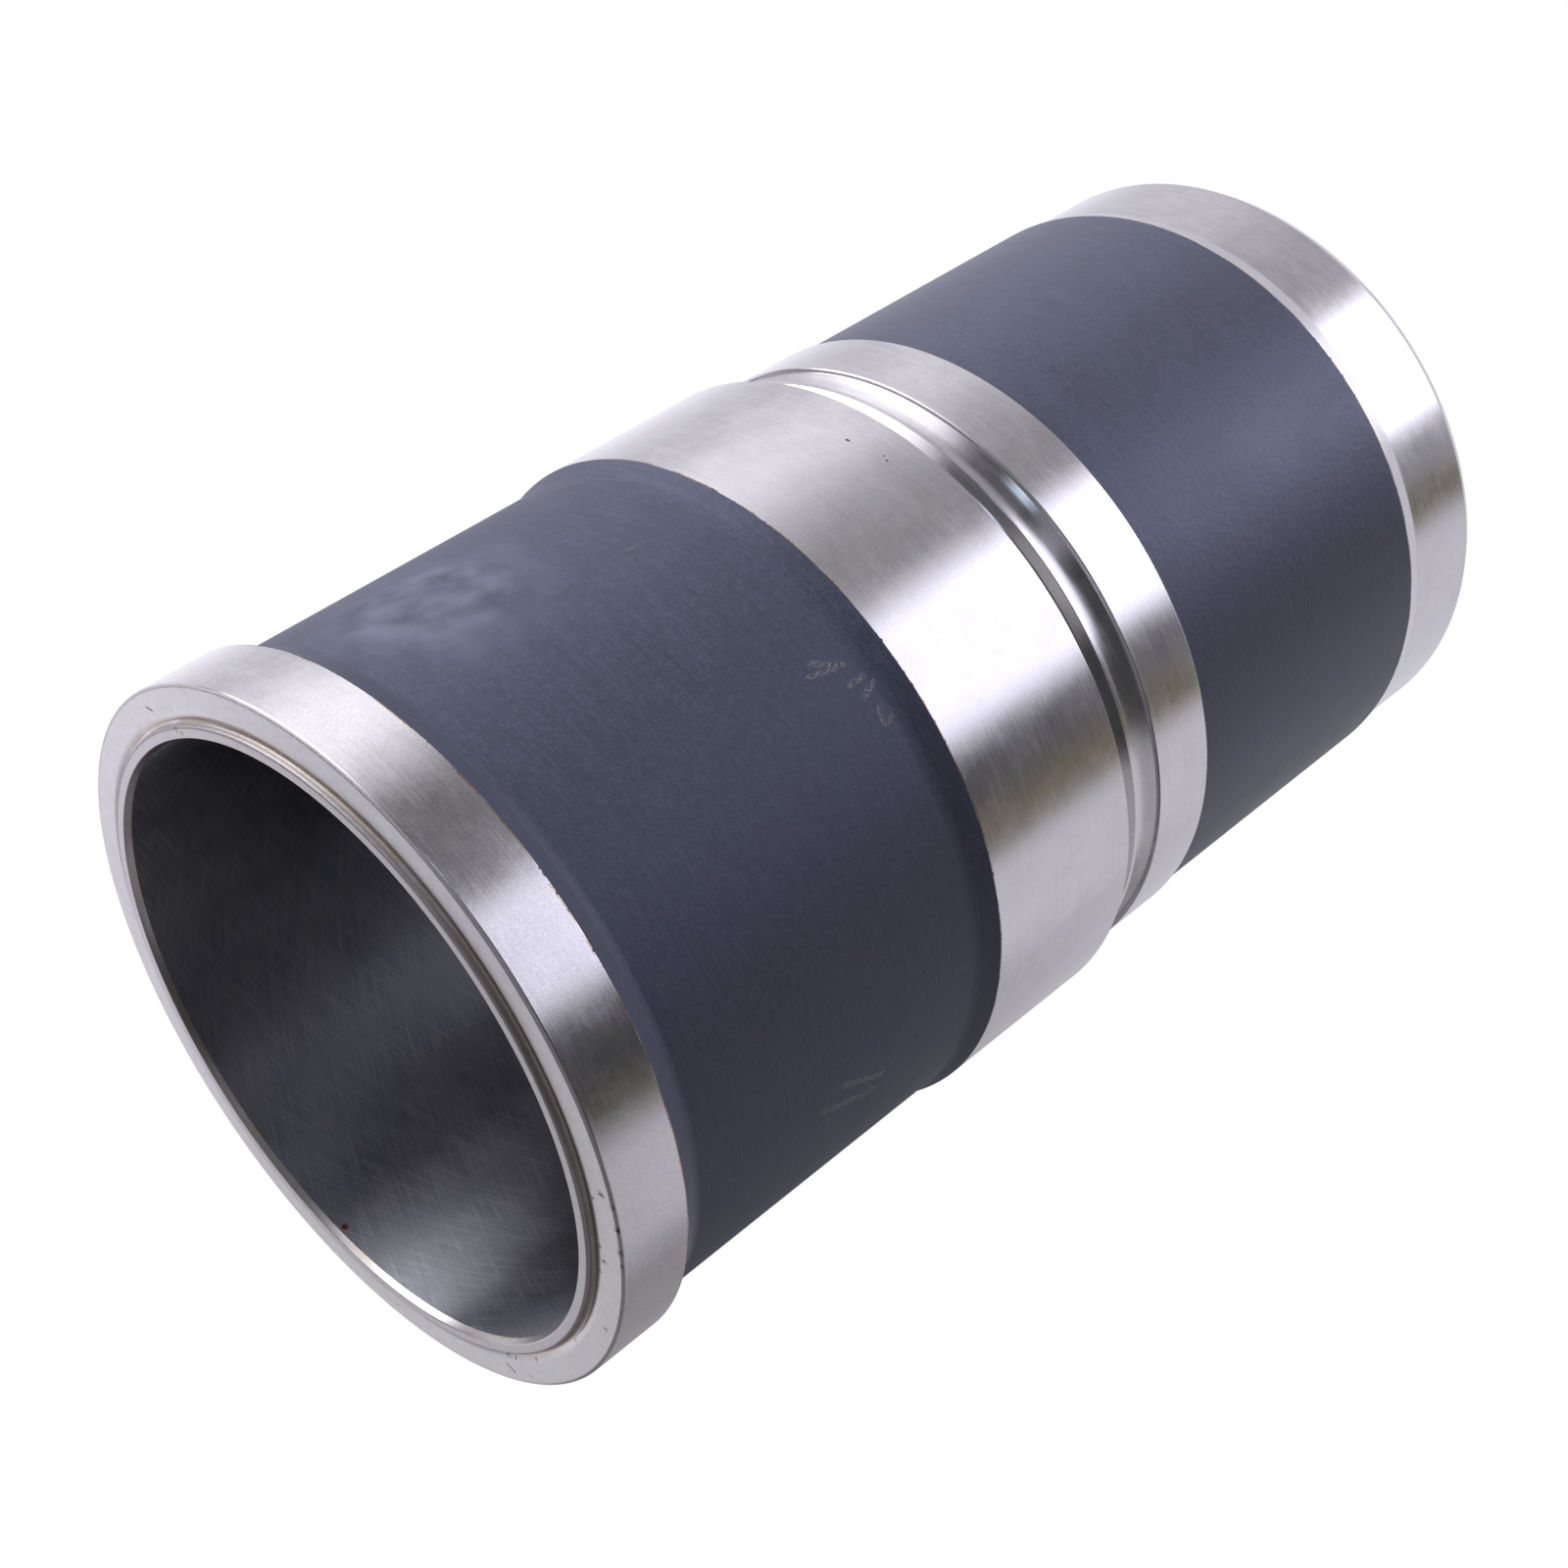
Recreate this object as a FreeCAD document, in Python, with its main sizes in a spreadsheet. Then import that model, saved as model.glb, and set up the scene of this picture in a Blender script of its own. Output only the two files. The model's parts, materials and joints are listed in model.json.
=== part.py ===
import FreeCAD, Part
import os

import Sketcher

# A wet cylinder liner of the mid-stop kind, for a heavy diesel engine. It stands on its lower end,
# with the axis of its bore along Z and the flange that carries the fire ring at the top.
# The real one is spun cast and then turned in one piece, so it is made here the same way:
# a stepped blank is revolved, and each later cut is a groove or a chamfer with sizes of its own.

DOCUMENT_NAME = "CylinderLiner"
NODE = "cylinder_liner"
SHEET_NAME = "Sizes"

# Every driving dimension in millimetres: the cell's alias, its value and what it measures.
# Walls are measured outwards from the bore, and heights run up the liner from its foot.
DRIVING_SIZES = (
    ("bore_diameter", 130.0, "running bore for the piston"),
    ("flange_wall", 11.0, "wall at the flange, which presses into the top of the block"),
    ("upper_jacket_wall", 7.7, "wall of the upper wet length, between flange and middle band"),
    ("middle_band_wall", 9.3, "wall of the middle band, which carries the seat"),
    ("lower_band_wall", 6.5, "wall of the band below the seat, with the seal groove"),
    ("lower_jacket_wall", 5.7, "wall of the lower wet length"),
    ("pilot_wall", 4.7, "wall of the lower pilot band"),
    ("foot_wall", 3.3, "wall left at the very foot, inside the lead-in bevel"),
    ("foot_bevel_height", 2.5, "lead-in bevel at the foot"),
    ("pilot_height", 19.4, "lower pilot band"),
    ("pilot_bevel_height", 3.7, "bevel from the pilot band up to the lower wet length"),
    ("lower_jacket_height", 73.3, "lower wet length"),
    ("lower_step_height", 1.0, "bevel from the lower wet length up to the lower band"),
    ("lower_band_height", 15.6, "lower band, up to the seal groove"),
    ("seal_groove_height", 6.7, "opening of the seal groove"),
    ("seal_land_height", 1.2, "land between the seal groove and the undercut"),
    ("undercut_height", 5.3, "undercut below the seat"),
    ("middle_band_height", 39.2, "middle band, up from the seat"),
    ("middle_bevel_height", 5.2, "bevel from the middle band up to the upper wet length"),
    ("upper_jacket_height", 75.6, "upper wet length"),
    ("flange_bevel_height", 4.9, "bevel under the flange"),
    ("flange_height", 15.6, "flange, up to its gasket face"),
    ("ring_height", 1.2, "how far the fire ring stands above the gasket face"),
    ("ring_wall", 3.1, "wall of the fire ring, from the bore to its outside"),
    ("ring_root_radius", 0.8, "fillet at the root of the fire ring"),
    ("ring_root_depth", 0.3, "how far the root runs below the gasket face"),
    ("ring_root_blend", 1.7, "width over which the root rolls up to the gasket face"),
    ("mouth_taper_width", 0.7, "lead-in at the top of the bore, across its wall"),
    ("mouth_taper_height", 1.4, "lead-in at the top of the bore, along its axis"),
    ("skirt_chamfer", 1.0, "chamfer at the foot of the bore"),
    ("flange_chamfer", 0.5, "chamfer round the gasket face"),
    ("seal_groove_depth", 2.0, "depth of the seal groove below the lower band"),
    ("seal_floor_height", 3.3, "flat floor of the seal groove, from its upper wall"),
    ("seal_lip_height", 0.8, "low lower wall of the seal groove, left where its floor has risen"),
    ("undercut_depth", 1.5, "depth of the undercut below the lower band"),
    ("undercut_ramp_height", 2.1, "sloping lower side of the undercut"),
    ("undercut_corner", 0.9, "sloping corner left where the undercut meets the seat"),
    ("edge_break", 0.3, "break on the edges of the seat, the fire ring and the seal groove's lower lip"),
)

FULL_TURN = 360.0
SAME_PLACE = 1e-4
LINE_START = 1
LINE_END = 2
ORIGIN_POINT = (-1, 1)
ORIGIN_AXIS = -1


class Size:
    """A length that keeps its number together with the sheet expression that drives it."""

    def __init__(self, text, value):
        self.text = text
        self.value = value

    def __add__(self, other):
        return Size(f"{self.text} + {other.text}", self.value + other.value)

    def __sub__(self, other):
        return Size(f"{self.text} - ({other.text})", self.value - other.value)

    def half(self):
        return Size(f"({self.text}) / 2", self.value / 2)


def fill_sheet(document):
    """Put the driving sizes in a spreadsheet and return them by name."""
    sheet = document.addObject("Spreadsheet::Sheet", SHEET_NAME)
    sizes = {}
    for row, (alias, value, meaning) in enumerate(DRIVING_SIZES, 1):
        sheet.set(f"A{row}", meaning)
        sheet.set(f"B{row}", str(value))
        sheet.setAlias(f"B{row}", alias)
        sizes[alias] = Size(f"{SHEET_NAME}.{alias}", value)
    document.recompute()
    return sizes


def axial_plane(body):
    """The body's own XZ plane, which holds the liner's axis as its upright direction."""
    for feature in body.Origin.OriginFeatures:
        if feature.Role == "XZ_Plane":
            return feature
    raise RuntimeError("the body has no XZ plane")


def tangent_arc(start, end, touch, neighbour):
    """An arc from start to end that runs tangent into the straight edge touch-neighbour.

    Sketch arcs always run anticlockwise, so the second value says whether this one starts at start.
    """
    along = (touch - neighbour).normalize()
    across = FreeCAD.Vector(-along.y, along.x, 0)
    chord = (end if touch == start else start) - touch
    centre = touch + across * (chord.Length ** 2 / (2 * across.dot(chord)))
    circle = Part.Circle(centre, FreeCAD.Vector(0, 0, 1), (touch - centre).Length)
    starts_here = (start - centre).cross(end - centre).z > 0
    first, last = (start, end) if starts_here else (end, start)
    return Part.ArcOfCircle(circle, circle.parameter(first), circle.parameter(last)), starts_here


def draw_profile(body, name, corners, arcs=None):
    """Draw a closed half section in the axial plane.

    Each corner is (name, radius, level) and is placed by two dimensions bound to the sheet.
    arcs names the corner at which a curved edge starts, with "before" or "after" for the straight
    edge that it is tangent to.
    """
    arcs = arcs or {}
    sketch = body.newObject("Sketcher::SketchObject", name)
    sketch.AttachmentSupport = [(axial_plane(body), "")]
    sketch.MapMode = "FlatFace"
    points = [FreeCAD.Vector(radius.value, level.value, 0) for _, radius, level in corners]
    count = len(points)
    ends = []
    for index, (corner, _, _) in enumerate(corners):
        start, end = points[index], points[(index + 1) % count]
        side = arcs.get(corner)
        if side is None:
            edge, forward = Part.LineSegment(start, end), True
        elif side == "before":
            edge, forward = tangent_arc(start, end, start, points[index - 1])
        else:
            edge, forward = tangent_arc(start, end, end, points[(index + 2) % count])
        geometry = sketch.addGeometry(edge, False)
        first, last = (LINE_START, LINE_END) if forward else (LINE_END, LINE_START)
        ends.append(((geometry, first), (geometry, last)))
    for index, (corner, radius, level) in enumerate(corners):
        arriving, leaving = ends[index - 1][1], ends[index][0]
        previous = corners[index - 1][0]
        smooth = arcs.get(corner) == "before" or arcs.get(previous) == "after"
        joint = "Tangent" if smooth else "Coincident"
        sketch.addConstraint(Sketcher.Constraint(joint, *arriving, *leaving))
        dimension(sketch, "DistanceX", leaving, f"{corner}_radius", radius)
        if level.value == 0:
            sketch.addConstraint(Sketcher.Constraint("PointOnObject", *leaving, ORIGIN_AXIS))
        else:
            dimension(sketch, "DistanceY", leaving, f"{corner}_level", level)
    return sketch


def dimension(sketch, kind, point, name, size):
    """Dimension a point from the origin and bind the dimension to the sheet."""
    index = sketch.addConstraint(Sketcher.Constraint(kind, *ORIGIN_POINT, *point, size.value))
    sketch.renameConstraint(index, name)
    sketch.setExpression(f"Constraints.{name}", size.text)


def turn(body, kind, name, sketch):
    """Revolve a half section about the liner's axis, to add metal or to cut it."""
    feature = body.newObject(f"PartDesign::{kind}", name)
    feature.Profile = sketch
    feature.ReferenceAxis = (sketch, ["V_Axis"])
    feature.Angle = FULL_TURN
    sketch.Visibility = False
    return feature


def cut_groove(body, name, corners, arcs=None):
    """Turn a groove into the body and check that it took metal away."""
    before = body.Shape.Volume
    feature = turn(body, "Groove", name, draw_profile(body, f"{name}Section", corners, arcs))
    body.Document.recompute()
    if not body.Shape.Volume < before:
        raise RuntimeError(f"{name} cuts nothing")
    return feature


def rim(body, radius, level):
    """Names of the body's circular edges that have this radius at this level."""
    found = []
    for number, edge in enumerate(body.Tip.Shape.Edges, 1):
        curve = edge.Curve
        if not isinstance(curve, Part.Circle):
            continue
        off_radius = abs(curve.Radius - radius.value)
        off_level = abs(curve.Center.z - level.value)
        if max(off_radius, off_level) < SAME_PLACE:
            found.append(f"Edge{number}")
    if not found:
        raise RuntimeError(f"no edge of radius {radius.value} at level {level.value}")
    return found


def chamfer(body, name, rims, **bound_sizes):
    """Chamfer the rims that lie at the given radii and levels, with each size bound to the sheet."""
    names = [edge for radius, level in rims for edge in rim(body, radius, level)]
    base = body.Tip
    feature = body.newObject("PartDesign::Chamfer", name)
    feature.Base = (base, names)
    if len(bound_sizes) > 1:
        feature.ChamferType = "Two distances"
    for property_name, size in bound_sizes.items():
        feature.setExpression(property_name, size.text)
    body.Document.recompute()
    return feature


def build_liner(document, size):
    """The whole liner, as one body."""
    body = document.addObject("PartDesign::Body", "Liner")
    body.Label = NODE

    bore = size["bore_diameter"].half()
    flange = bore + size["flange_wall"]
    upper_jacket = bore + size["upper_jacket_wall"]
    middle_band = bore + size["middle_band_wall"]
    lower_band = bore + size["lower_band_wall"]
    lower_jacket = bore + size["lower_jacket_wall"]
    pilot = bore + size["pilot_wall"]
    foot = bore + size["foot_wall"]
    ring = bore + size["ring_wall"]

    ground = Size("0", 0.0)
    pilot_bottom = size["foot_bevel_height"]
    pilot_top = pilot_bottom + size["pilot_height"]
    lower_jacket_bottom = pilot_top + size["pilot_bevel_height"]
    lower_jacket_top = lower_jacket_bottom + size["lower_jacket_height"]
    lower_band_bottom = lower_jacket_top + size["lower_step_height"]
    seal_bottom = lower_band_bottom + size["lower_band_height"]
    seal_top = seal_bottom + size["seal_groove_height"]
    undercut_bottom = seal_top + size["seal_land_height"]
    seat = undercut_bottom + size["undercut_height"]
    middle_band_top = seat + size["middle_band_height"]
    upper_jacket_bottom = middle_band_top + size["middle_bevel_height"]
    upper_jacket_top = upper_jacket_bottom + size["upper_jacket_height"]
    flange_bottom = upper_jacket_top + size["flange_bevel_height"]
    face = flange_bottom + size["flange_height"]
    top = face + size["ring_height"]

    # The blank: bored through, and stepped outside for each band and wet length.
    blank = draw_profile(body, "BlankSection", (
        ("bore_foot", bore, ground),
        ("foot", foot, ground),
        ("pilot_bottom", pilot, pilot_bottom),
        ("pilot_top", pilot, pilot_top),
        ("lower_jacket_bottom", lower_jacket, lower_jacket_bottom),
        ("lower_jacket_top", lower_jacket, lower_jacket_top),
        ("lower_band_bottom", lower_band, lower_band_bottom),
        ("seat_inner", lower_band, seat),
        ("seat_outer", middle_band, seat),
        ("middle_band_top", middle_band, middle_band_top),
        ("upper_jacket_bottom", upper_jacket, upper_jacket_bottom),
        ("upper_jacket_top", upper_jacket, upper_jacket_top),
        ("flange_bottom", flange, flange_bottom),
        ("flange_top", flange, top),
        ("bore_top", bore, top),
    ))
    turn(body, "Revolution", "Blank", blank)
    document.recompute()

    # The face is turned down round the bore, which leaves the fire ring and its rolled root.
    root_radius = size["ring_root_radius"]
    root_level = face - size["ring_root_depth"]
    root = ring + root_radius
    cut_groove(body, "FireRing", (
        ("ring_top", ring, top),
        ("ring_wall_foot", ring, root_level + root_radius),
        ("root", root, root_level),
        ("face_inner", root + size["ring_root_blend"], face),
        ("face_outer", flange, face),
        ("blank_corner", flange, top),
    ), {"ring_wall_foot": "before", "root": "after"})

    # The undercut clears the inner corner of the seat, and ramps back up to the land.
    undercut_floor = lower_band - size["undercut_depth"]
    cut_groove(body, "SeatUndercut", (
        ("ramp_foot", lower_band, undercut_bottom),
        ("ramp_top", undercut_floor, undercut_bottom + size["undercut_ramp_height"]),
        ("floor_end", undercut_floor, seat),
        ("seat_corner", lower_band, seat),
    ))
    chamfer(body, "UndercutCorner", [(undercut_floor, seat)], Size=size["undercut_corner"])

    # The seal groove has a square upper wall, a flat floor and a floor that rises to a low lower wall.
    seal_floor = lower_band - size["seal_groove_depth"]
    cut_groove(body, "SealGroove", (
        ("lip", lower_band, seal_bottom),
        ("upper_edge", lower_band, seal_top),
        ("floor_top", seal_floor, seal_top),
        ("floor_bottom", seal_floor, seal_top - size["seal_floor_height"]),
        ("rise_end", lower_band - size["seal_lip_height"], seal_bottom),
    ), {"floor_bottom": "before"})

    # The bore's tapered mouth and chamfered foot, and the edges that are broken by hand or by tool.
    chamfer(body, "MouthTaper", [(bore, top)],
            Size=size["mouth_taper_width"], Size2=size["mouth_taper_height"])
    chamfer(body, "SkirtChamfer", [(bore, ground)], Size=size["skirt_chamfer"])
    chamfer(body, "FlangeChamfer", [(flange, face)], Size=size["flange_chamfer"])
    chamfer(body, "BrokenEdges", [(middle_band, seat), (lower_band, seal_bottom), (ring, top)],
            Size=size["edge_break"])
    return body


def check(document):
    """Stop if any object failed, or if the liner isn't one sound solid."""
    for item in document.Objects:
        if "Invalid" in item.State or "Error" in item.State:
            raise RuntimeError(f"{item.Name} did not build: {item.State}")
        if item.isDerivedFrom("Part::Feature") and (item.Shape.isNull() or not item.Shape.isValid()):
            raise RuntimeError(f"{item.Name} has no valid shape")


def main():
    document = FreeCAD.newDocument(DOCUMENT_NAME)
    sizes = fill_sheet(document)
    body = build_liner(document, sizes)
    document.recompute()
    check(document)
    shape = body.Shape
    if len(shape.Solids) != 1:
        raise RuntimeError("the liner is not one solid")
    os.makedirs("parts", exist_ok=True)
    shape.exportStep(f"parts/{body.Label}.step")
    box = shape.optimalBoundingBox()
    print(f"{body.Label}: {box.XLength:.2f} x {box.YLength:.2f} x {box.ZLength:.2f} mm,"
          f" {shape.Volume / 1000:.1f} cm3, {len(shape.Faces)} faces")


main()
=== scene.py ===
# %% [markdown]
# # A cylinder liner, finished in Blender
# A cylinder liner is the sleeve that a diesel engine's piston runs in. This one was spun cast in iron,
# turned, coated where the coolant touches it, then ground on its bands and honed in its bore.
# The lesson builds it in four steps: the camera, the turned shape, the finishes, and the room that the
# metal mirrors. The first cell loads the measured model. It never moves, and everything later is taken
# from it, in metres, with the bore's axis along Z and the foot at zero.

# %% Load the measured model
import json
import math

import bmesh
import bpy
from mathutils import Matrix, Vector


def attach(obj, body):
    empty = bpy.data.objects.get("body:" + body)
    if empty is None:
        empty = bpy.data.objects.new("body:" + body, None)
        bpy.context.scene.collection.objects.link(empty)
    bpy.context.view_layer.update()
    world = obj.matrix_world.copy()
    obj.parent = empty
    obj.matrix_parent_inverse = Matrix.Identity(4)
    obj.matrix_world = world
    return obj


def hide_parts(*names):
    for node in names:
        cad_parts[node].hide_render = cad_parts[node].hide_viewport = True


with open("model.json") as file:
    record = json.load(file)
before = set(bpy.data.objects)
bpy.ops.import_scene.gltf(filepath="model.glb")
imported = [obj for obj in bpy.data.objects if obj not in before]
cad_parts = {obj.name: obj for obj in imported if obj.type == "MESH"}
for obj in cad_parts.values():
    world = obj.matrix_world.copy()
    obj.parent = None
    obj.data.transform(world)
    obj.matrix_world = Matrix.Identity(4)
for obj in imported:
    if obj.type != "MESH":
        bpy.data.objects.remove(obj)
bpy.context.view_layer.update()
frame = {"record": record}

MM = 0.001

# %% [markdown]
# ## The camera
# The photograph looks down into the flange end, and the picture is turned so far that the liner seems
# to lie on its side. A camera could be placed by eye, but one that is fitted to the liner's own circles
# keeps every edge where the photograph has it. The fit gives four facts: where the camera stands, the
# point that it aims at, how far it is rolled, and its lens.

# %% The camera
CAMERA_PLACE = Vector((0.0, -476.55, 461.46)) * MM
CAMERA_AIM = Vector((-5.59, 0.0, 155.62)) * MM
CAMERA_ROLL = math.radians(124.21)
LENS_MM = 62.06
SENSOR_MM = 36.0


def add_camera(place, aim, roll):
    """A camera that looks from place to aim and is rolled clockwise by roll."""
    camera = bpy.data.objects.new("camera", bpy.data.cameras.new("camera"))
    camera.data.lens = LENS_MM
    camera.data.sensor_width = SENSOR_MM
    level = (aim - place).to_track_quat("-Z", "Y").to_matrix()
    turned = level @ Matrix.Rotation(-roll, 3, "Z")
    camera.matrix_world = Matrix.Translation(place) @ turned.to_4x4()
    bpy.context.collection.objects.link(camera)
    return camera


bpy.context.scene.camera = add_camera(CAMERA_PLACE, CAMERA_AIM, CAMERA_ROLL)
print("camera stands off, mm:", round((CAMERA_AIM - CAMERA_PLACE).length / MM))

# %% [markdown]
# ## The turned section
# A lathe makes the whole liner from one outline, so the outline is all that has to be drawn. The model
# records its fits as mounts: the bore, the flange's rim, three bands and four faces, each with its
# radius or its level. They are read here, so that the finished piece can't drift from the measured one.

# %% Radii and levels of the fits
MOUNTS = {mount["name"]: mount for mount in frame["record"]["mounts"]}


def wall(name):
    """Radius, lower end and upper end of a straight round wall."""
    mount = MOUNTS[name]
    half = mount["dims"]["length_mm"] * MM / 2
    centre = mount["pos_m"][2]
    return mount["dims"]["r_mm"] * MM, centre - half, centre + half


def level_of(name):
    """Level of a flat face."""
    return MOUNTS[name]["pos_m"][2]


BORE_R, BORE_LOW, BORE_HIGH = wall("bore")
RIM_R, RIM_LOW, RIM_HIGH = wall("flange_rim")
MIDDLE_R, MIDDLE_LOW, MIDDLE_HIGH = wall("middle_band")
LOWER_R, LOWER_LOW, LOWER_HIGH = wall("lower_band")
PILOT_R, PILOT_LOW, PILOT_HIGH = wall("pilot_band")
FOOT = level_of("foot")
SEAT = level_of("seat")
FACE = level_of("gasket_face")
RING_TOP = level_of("fire_ring_face")

print("bore, mm:", round(2 * BORE_R / MM, 1), "flange, mm:", round(2 * RIM_R / MM, 1))

# %% [markdown]
# Between the fits lie the wet lengths, the bevels and the two grooves. No mount gives them, so they are
# named here, each as the drawing of such a part would give it.

# %% Sizes between the fits
UPPER_JACKET_R = 72.7 * MM
LOWER_JACKET_R = 70.7 * MM
FOOT_R = 68.3 * MM
RING_R = 68.1 * MM
FLANGE_BEVEL = 4.9 * MM
MIDDLE_BEVEL = 5.2 * MM
LOWER_STEP = 1.0 * MM
PILOT_BEVEL = 3.7 * MM
RIM_CHAMFER = FACE - RIM_HIGH
MOUTH_TAPER = 0.7 * MM
SKIRT_CHAMFER = BORE_LOW
EDGE_BREAK = 0.3 * MM

SEAL_TOP = 122.2 * MM
SEAL_FLOOR_R = 69.5 * MM
SEAL_FLOOR_LOW = 118.9 * MM
SEAL_LIP_R = 70.7 * MM
UNDERCUT_LOW = 123.4 * MM
UNDERCUT_RAMP = 2.1 * MM
UNDERCUT_R = 70.0 * MM
UNDERCUT_CORNER = 0.9 * MM

ROOT_SLOPE = math.radians(20)
ROOT_WIDTH = 1.62 * MM

# %% [markdown]
# Each corner of the outline carries a rounding. A perfectly sharp edge looks false, because a real one
# has been broken with a file or a stone and catches a thin line of light. Ground edges are crisp, the
# flange's and the ring's are softer, those under the coating softer still, and the ring's root and the
# seal groove are rolled by the tool's nose. The groove's floor starts to rise a little below its corner.

# %% The corners of the section
CRISP = 0.06 * MM
WORN = 0.12 * MM
SOFT = 0.2 * MM
COATED = 0.5 * MM
SWEPT = 1.5 * MM
ROLLED = 0.93 * MM
FLOOR_RISE = 1.85 * MM
RISE_START = SEAL_FLOOR_LOW - 0.12 * FLOOR_RISE
GROOVE_NOSE = 0.48 * MM
BLEND = 0.74 * MM

root_drop = ROOT_WIDTH * math.tan(ROOT_SLOPE)
middle_top = MIDDLE_HIGH + MIDDLE_BEVEL

SECTION = [
    # The foot and the outside, from the bottom up: radius, level and rounding.
    (BORE_R + SKIRT_CHAMFER, FOOT, CRISP),
    (FOOT_R, FOOT, WORN),
    (PILOT_R, PILOT_LOW, WORN),
    (PILOT_R, PILOT_HIGH, COATED),
    (LOWER_JACKET_R, PILOT_HIGH + PILOT_BEVEL, COATED),
    (LOWER_JACKET_R, LOWER_LOW - LOWER_STEP, CRISP),
    (LOWER_R, LOWER_LOW, WORN),
    (LOWER_R, LOWER_HIGH, CRISP),
    (LOWER_R - EDGE_BREAK, LOWER_HIGH + EDGE_BREAK, CRISP),
    (SEAL_LIP_R, LOWER_HIGH + EDGE_BREAK, WORN),
    (SEAL_FLOOR_R, RISE_START, FLOOR_RISE),
    (SEAL_FLOOR_R, SEAL_TOP, GROOVE_NOSE),
    (LOWER_R, SEAL_TOP, WORN),
    (LOWER_R, UNDERCUT_LOW, WORN),
    (UNDERCUT_R, UNDERCUT_LOW + UNDERCUT_RAMP, COATED),
    (UNDERCUT_R, SEAT, UNDERCUT_CORNER),
    (MIDDLE_R - EDGE_BREAK, SEAT, CRISP),
    (MIDDLE_R, MIDDLE_LOW, CRISP),
    (MIDDLE_R, MIDDLE_HIGH, WORN),
    (UPPER_JACKET_R, middle_top, SWEPT),
    (UPPER_JACKET_R, RIM_LOW - FLANGE_BEVEL, SWEPT),
    (RIM_R, RIM_LOW, WORN),
    (RIM_R, RIM_HIGH, SOFT),
    # The gasket face, the ring with its rolled root, and the mouth of the bore.
    (RIM_R - RIM_CHAMFER, FACE, SOFT),
    (RING_R + ROOT_WIDTH, FACE, BLEND),
    (RING_R, FACE - root_drop, ROLLED),
    (RING_R, RING_TOP - EDGE_BREAK, SOFT),
    (RING_R - EDGE_BREAK, RING_TOP, SOFT),
    (BORE_R + MOUTH_TAPER, RING_TOP, WORN),
    (BORE_R, BORE_HIGH, WORN),
    (BORE_R, BORE_LOW, CRISP),
]

print("corners in the section:", len(SECTION))

# %% [markdown]
# The outline is first filled as one flat face, because the bevel operator rounds the corners of a face
# best. Corners with the same rounding are bevelled together. Then the face goes and its edge stays, and
# a full spin about Z with merged ends turns that edge into the liner, as the lathe does. A degree for
# each step keeps the liner round even close up.

# %% Round the outline and spin it
ROUNDING_STEPS = 3
ROLLED_STEPS = 9
SPIN_STEPS = 360
FULL_TURN = 2 * math.pi
SAME_PLACE = 1e-7


def rounded_outline(section):
    """A bmesh that holds the section's outline, with each corner rounded."""
    outline = bmesh.new()
    corners = [outline.verts.new((radius, 0.0, level)) for radius, level, _ in section]
    outline.faces.new(corners)
    roundings = {corner: rounding for corner, (_, _, rounding) in zip(corners, section)}
    for rounding in sorted(set(roundings.values())):
        alike = [corner for corner in corners if corner.is_valid and roundings[corner] == rounding]
        bmesh.ops.bevel(
            outline, geom=alike, offset=rounding, offset_type="OFFSET", affect="VERTICES",
            segments=ROUNDING_STEPS if rounding < ROLLED else ROLLED_STEPS,
            profile=0.5, material=-1, clamp_overlap=True)
    bmesh.ops.delete(outline, geom=outline.faces[:], context="FACES_ONLY")
    return outline


def turned(section):
    """The outline spun into a closed solid, as a mesh with its faces outwards."""
    solid = rounded_outline(section)
    bmesh.ops.spin(
        solid, geom=solid.verts[:] + solid.edges[:], cent=(0, 0, 0), axis=(0, 0, 1),
        dvec=(0, 0, 0), angle=FULL_TURN, steps=SPIN_STEPS, use_merge=True, use_duplicate=False)
    bmesh.ops.remove_doubles(solid, verts=solid.verts[:], dist=SAME_PLACE)
    bmesh.ops.recalc_face_normals(solid, faces=solid.faces[:])
    for face in solid.faces:
        face.smooth = True
    mesh = bpy.data.meshes.new("liner")
    solid.to_mesh(mesh)
    print("spun faces:", len(solid.faces), "volume, cm3:", round(solid.calc_volume() * 1e6, 1))
    solid.free()
    return mesh


liner = bpy.data.objects.new("liner", turned(SECTION))
bpy.context.collection.objects.link(liner)

# %% [markdown]
# Smooth shading spreads a normal over a whole face, and here long bands meet hair-thin roundings, so
# plain smoothing would bend the reflections in the bands. A Weighted Normal modifier lets the large
# faces win, and it is applied at once, so that the piece is left with no modifier.

# %% Give the large faces the say over the normals
def settle_normals(piece):
    """Weight the normals by face area, and store them in the mesh."""
    weighted = piece.modifiers.new("weighted normals", "WEIGHTED_NORMAL")
    weighted.mode = "FACE_AREA"
    weighted.weight = 100
    weighted.keep_sharp = False
    bpy.context.view_layer.update()
    depsgraph = bpy.context.evaluated_depsgraph_get()
    settled = bpy.data.meshes.new_from_object(piece.evaluated_get(depsgraph))
    piece.modifiers.clear()
    piece.data = settled
    settled.name = piece.name


settle_normals(liner)
print("normals are stored:", liner.data.has_custom_normals)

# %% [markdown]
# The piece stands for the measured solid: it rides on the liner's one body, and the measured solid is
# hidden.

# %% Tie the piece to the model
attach(liner, "root")
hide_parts("cylinder_liner")

# %% [markdown]
# ## Writing shaders as sums
# A finish is easier to read as a formula than as a web of nodes. A small class wraps a socket, and its
# operators add Math nodes. Every other node comes from one method, which takes the node's type, its
# settings and what goes into its sockets.

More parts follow.
